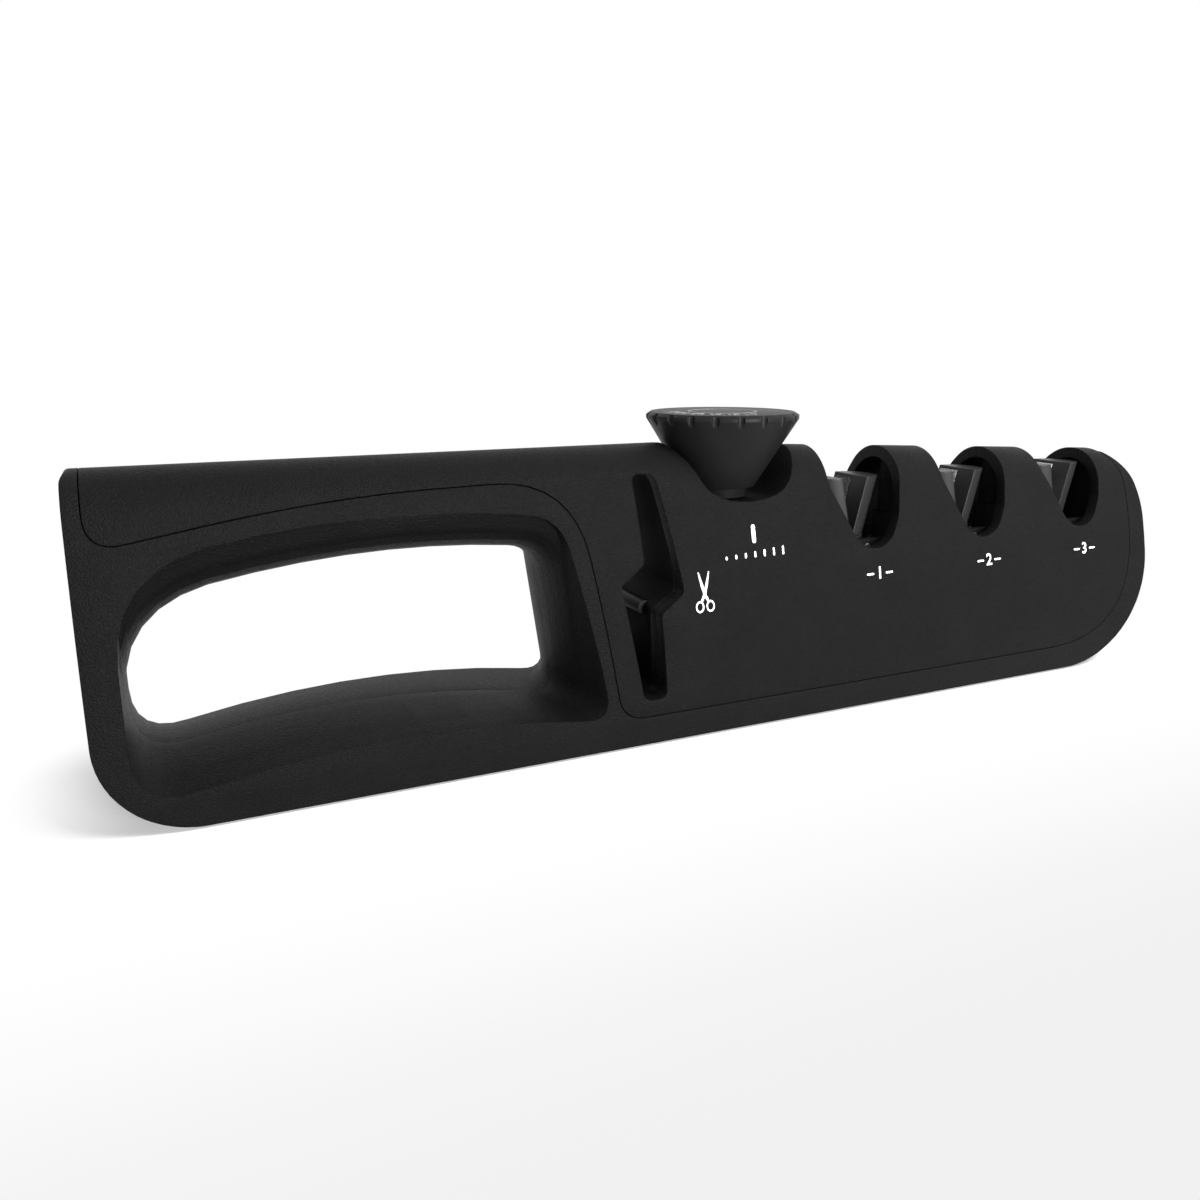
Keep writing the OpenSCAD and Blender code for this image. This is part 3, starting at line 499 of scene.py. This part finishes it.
def dial_shape():
    shapes = []
    for i, angle in enumerate(DIAL_ANGLES):
        # The number at the pointer turns away as the knob turns the other way
        a = -math.pi / 2 - i * DIAL_TURN
        r = dial_r - 3.2 * MM
        at = (r * math.cos(a), r * math.sin(a))
        shapes.append(letters(str(angle), 2.0 * MM, at, a + math.pi / 2))
        shapes.append(bar(dial_r - 1.2 * MM, 0, 1.2 * MM, 0.35 * MM, a))
    for i in range(len(DIAL_ANGLES) - 1):
        a = -math.pi / 2 - (i + 0.5) * DIAL_TURN
        shapes.append(bar(dial_r - 1.0 * MM, 0, 0.8 * MM, 0.25 * MM, a))
    shapes.append(ring(0, 0, dial_r * 0.52, 0.3 * MM, steps=64))
    return merged(shapes)


dial_flat, dial_faces = dial_shape()
dial_corners = [Vector((dial_x + u, v, dial_z + PRINT_LIFT)) for u, v in dial_flat]
dial_under = [Vector((0, 0, -PRINT_THICK))] * len(dial_corners)
add_piece("dial_numbers", *thick(dial_corners, dial_faces, dial_under), GREY_INK, "knob", "knob")


# Floor, light and camera


def backdrop_white(tree, paths):
    """One for every ray that sees the background: from the camera, in a gloss or through glass."""
    seen = tree.nodes.new("ShaderNodeMath")
    seen.operation = "MAXIMUM"
    tree.links.new(paths.outputs["Is Camera Ray"], seen.inputs[0])
    tree.links.new(paths.outputs["Is Glossy Ray"], seen.inputs[1])
    through = tree.nodes.new("ShaderNodeMath")
    through.operation = "MAXIMUM"
    tree.links.new(seen.outputs["Value"], through.inputs[0])
    tree.links.new(paths.outputs["Is Transmission Ray"], through.inputs[1])
    return through.outputs["Value"]


def floor_material():
    """A pale floor that takes the object's shadow and fades into the white backdrop further out;
    its white glow is dimmed towards the camera as painted shade.
    """
    s = Shader("floor_pale", 0.9, 0.1)
    grain = s.noise(0.4, 2)
    s.set(Base_Color=s.ramp(grain, ((0.3, grey(FLOOR_LEVEL)), (0.7, grey(FLOOR_LEVEL + 0.015)))))
    tree = s.tree
    white = s.node("ShaderNodeEmission")
    spread = s.node("ShaderNodeVectorMath", operation="ABSOLUTE")
    s.link(s.place, spread.inputs[0])
    beyond = s.node("ShaderNodeVectorMath", operation="SUBTRACT")
    s.link(spread.outputs["Vector"], beyond.inputs[0])
    beyond.inputs[1].default_value = FLOOR_FOOTPRINT
    outside = s.node("ShaderNodeVectorMath", operation="MAXIMUM")
    s.link(beyond.outputs["Vector"], outside.inputs[0])
    away = s.node("ShaderNodeVectorMath", operation="LENGTH")
    s.link(outside.outputs["Vector"], away.inputs[0])
    axes = s.node("ShaderNodeSeparateXYZ")
    s.link(s.place, axes.inputs["Vector"])
    # Painted shade: the white glow is dimmed towards the camera
    near = s.node("ShaderNodeMapRange", interpolation_type="SMOOTHSTEP")
    near.inputs["From Min"].default_value, near.inputs["From Max"].default_value = FLOOR_PAINTED_SHADE_Y
    near.inputs["To Min"].default_value, near.inputs["To Max"].default_value = 1.0, FLOOR_PAINTED_SHADE
    s.link(axes.outputs["Y"], near.inputs["Value"])
    s.link(near.outputs["Result"], white.inputs["Strength"])
    fade = s.node("ShaderNodeMapRange", interpolation_type="SMOOTHSTEP")
    fade.inputs["From Min"].default_value, fade.inputs["From Max"].default_value = FLOOR_FADE
    fade.inputs["To Min"].default_value, fade.inputs["To Max"].default_value = FLOOR_WHITE_SHARES
    s.link(away.outputs["Value"], fade.inputs["Value"])
    share = s.node("ShaderNodeMath", operation="MULTIPLY")
    s.link(fade.outputs["Result"], share.inputs[0])
    s.link(backdrop_white(tree, s.node("ShaderNodeLightPath")), share.inputs[1])
    mix = s.node("ShaderNodeMixShader")
    s.link(share.outputs["Value"], mix.inputs["Fac"])
    s.link(s.main.outputs["BSDF"], mix.inputs[1])
    s.link(white.outputs["Emission"], mix.inputs[2])
    s.link(mix.outputs["Shader"], tree.nodes["Material Output"].inputs["Surface"])
    return s.material


def add_floor():
    mesh = bpy.data.meshes.new("floor")
    signs = ((-1, -1), (1, -1), (1, 1), (-1, 1))
    corners = [(x * FLOOR_HALF, y * FLOOR_HALF, 0) for x, y in signs]
    mesh.from_pydata(corners, [], [(0, 1, 2, 3)])
    mesh.materials.append(floor_material())
    floor = bpy.data.objects.new("floor", mesh)
    bpy.context.collection.objects.link(floor)


def set_world(strength):
    world = bpy.data.worlds.new("studio")
    world.use_nodes = True
    bpy.context.scene.world = world
    tree = world.node_tree
    background = tree.nodes["Background"]
    background.inputs["Color"].default_value = (*grey(1.0), 1)
    level = tree.nodes.new("ShaderNodeMapRange")
    level.inputs["To Min"].default_value = strength
    level.inputs["To Max"].default_value = 1.0
    paths = tree.nodes.new("ShaderNodeLightPath")
    tree.links.new(backdrop_white(tree, paths), level.inputs["Value"])
    tree.links.new(level.outputs["Result"], background.inputs["Strength"])


def add_softbox(name, at, size, power):
    light = bpy.data.lights.new(name, "AREA")
    light.shape = "RECTANGLE"
    light.size, light.size_y = size
    light.energy = power
    lamp = bpy.data.objects.new(name, light)
    lamp.location = at
    lamp.rotation_euler = (Vector(LAMP_AIM) - Vector(at)).to_track_quat("-Z", "Y").to_euler()
    bpy.context.collection.objects.link(lamp)


def add_camera():
    data = bpy.data.cameras.new("camera")
    data.sensor_width = SENSOR_MM
    data.lens = LENS_MM
    data.clip_start = 0.01
    camera = bpy.data.objects.new("camera", data)
    flat = math.cos(CAMERA_PITCH)
    right, forward = math.sin(CAMERA_YAW) * flat, math.cos(CAMERA_YAW) * flat
    ahead = Vector((right, forward, -math.sin(CAMERA_PITCH)))
    camera.location = CAMERA_AT
    camera.rotation_euler = ahead.to_track_quat("-Z", "Y").to_euler()
    bpy.context.collection.objects.link(camera)
    bpy.context.scene.camera = camera


add_floor()
set_world(WORLD_LEVEL)
for softbox in SOFTBOXES:
    add_softbox(*softbox)
add_camera()
bpy.context.scene.view_settings.view_transform = "Standard"
